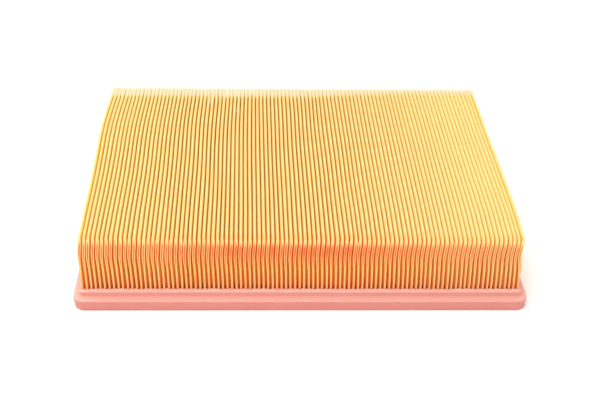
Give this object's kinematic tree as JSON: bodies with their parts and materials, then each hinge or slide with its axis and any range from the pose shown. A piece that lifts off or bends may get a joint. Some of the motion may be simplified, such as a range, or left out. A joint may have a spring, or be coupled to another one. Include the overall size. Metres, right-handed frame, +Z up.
{
  "type": "panel air filter",
  "caption": "Flat rectangular panel air filter: a block of pleated paper cast into a soft polyurethane frame with a projecting sealing flange.",
  "frame": {"origin": "centre of the sealing frame's flat underside", "axes": "+X across the pleats along the frame's long side, +Y along the pleats, +Z up from the sealing face to the upper fold tips"},
  "size_m": [0.3032, 0.2384, 0.0507],
  "materials": {
    "filter_paper": "matte",
    "hot_melt_glue": "satin",
    "cast_polyurethane": "satin"
  },
  "bodies": {
    "root": {"pleated_paper": "filter_paper", "front_pleat_end_glue_seam": "hot_melt_glue", "rear_pleat_end_glue_seam": "hot_melt_glue", "sealing_frame": "cast_polyurethane"}
  },
  "joints": []
}
